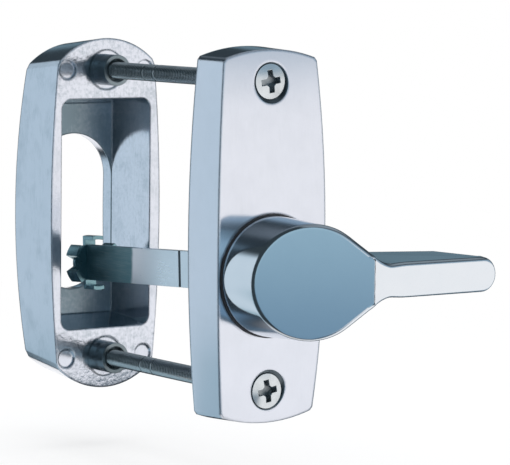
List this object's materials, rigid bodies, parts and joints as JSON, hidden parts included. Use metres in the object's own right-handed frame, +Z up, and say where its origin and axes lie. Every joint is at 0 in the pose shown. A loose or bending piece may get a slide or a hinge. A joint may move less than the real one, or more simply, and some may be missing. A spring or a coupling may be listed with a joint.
{
  "type": "lock escutcheon with thumb turn",
  "caption": "Door lock escutcheon set: crowned inner plate with a lever thumb turn and drive tail, through-screwed to a hollow outer housing with an oval cylinder window.",
  "frame": {"origin": "where the spindle axis meets the inner plate's door face", "axes": "+Z up, +Y through the door from the inner plate to the outer housing, +X towards the lever's tip"},
  "size_m": [0.0764, 0.1327, 0.1024],
  "materials": {
    "chromed_casting": "satin chrome on a zinc casting",
    "chromed_turn": "polished chrome on a zinc casting",
    "bright_steel": "turned, bright",
    "plated_steel": "zinc plated",
    "spring_steel": "blued spring steel",
    "tail_steel": "cold drawn, bright",
    "screw_steel": "nickel plated",
    "bearing_brass": "turned",
    "black_nylon": "moulded"
  },
  "bodies": {
    "plate": {"inner_plate": "chromed_casting", "bearing_bush": "bearing_brass", "slide_ring": "black_nylon", "stop_pins": "bright_steel", "index_spring": "spring_steel"},
    "turn": {"thumb_turn": "chromed_turn", "spindle": "bright_steel", "disc_spring": "spring_steel", "thrust_washer": "bright_steel", "index_cam": "plated_steel", "shim_washer": "bright_steel", "retaining_ring": "spring_steel", "tail_pin": "bright_steel"},
    "tail": {"tail_blade": "tail_steel", "star_clip": "spring_steel"},
    "upper_bolt": {"upper_screw": "screw_steel"},
    "lower_bolt": {"lower_screw": "screw_steel"},
    "housing": {"outer_housing": "chromed_casting", "upper_pillar": "plated_steel", "lower_pillar": "plated_steel"}
  },
  "joints": [
    {"name": "thumb_turn", "type": "hinge", "parent": "plate", "child": "turn", "pos_m": [0, -0.009, 0], "axis": [0, 1, 0], "range_deg": [-90, 90], "deforming": ["index_spring"]},
    {"name": "tail_hang", "type": "hinge", "parent": "turn", "child": "tail", "pos_m": [0, -0.008, 0], "axis": [1, 0, 0], "range_deg": [0, 6]},
    {"name": "housing_draw", "type": "slide", "parent": "plate", "child": "housing", "axis": [0, -1, 0], "range_m": [0, 0.006]},
    {"name": "upper_screw_turn", "type": "hinge", "parent": "plate", "child": "upper_bolt", "pos_m": [0, 0.03, 0.0525], "axis": [0, 1, 0], "range_deg": [0, 2710]},
    {"name": "lower_screw_turn", "type": "hinge", "parent": "plate", "child": "lower_bolt", "pos_m": [0, 0.03, -0.0315], "axis": [0, 1, 0], "range_deg": [0, 2710]}
  ],
  "couplings": [
    {"joint": "upper_screw_turn", "follows": "housing_draw", "rad_per_m": 7854},
    {"joint": "lower_screw_turn", "follows": "housing_draw", "rad_per_m": 7854}
  ]
}
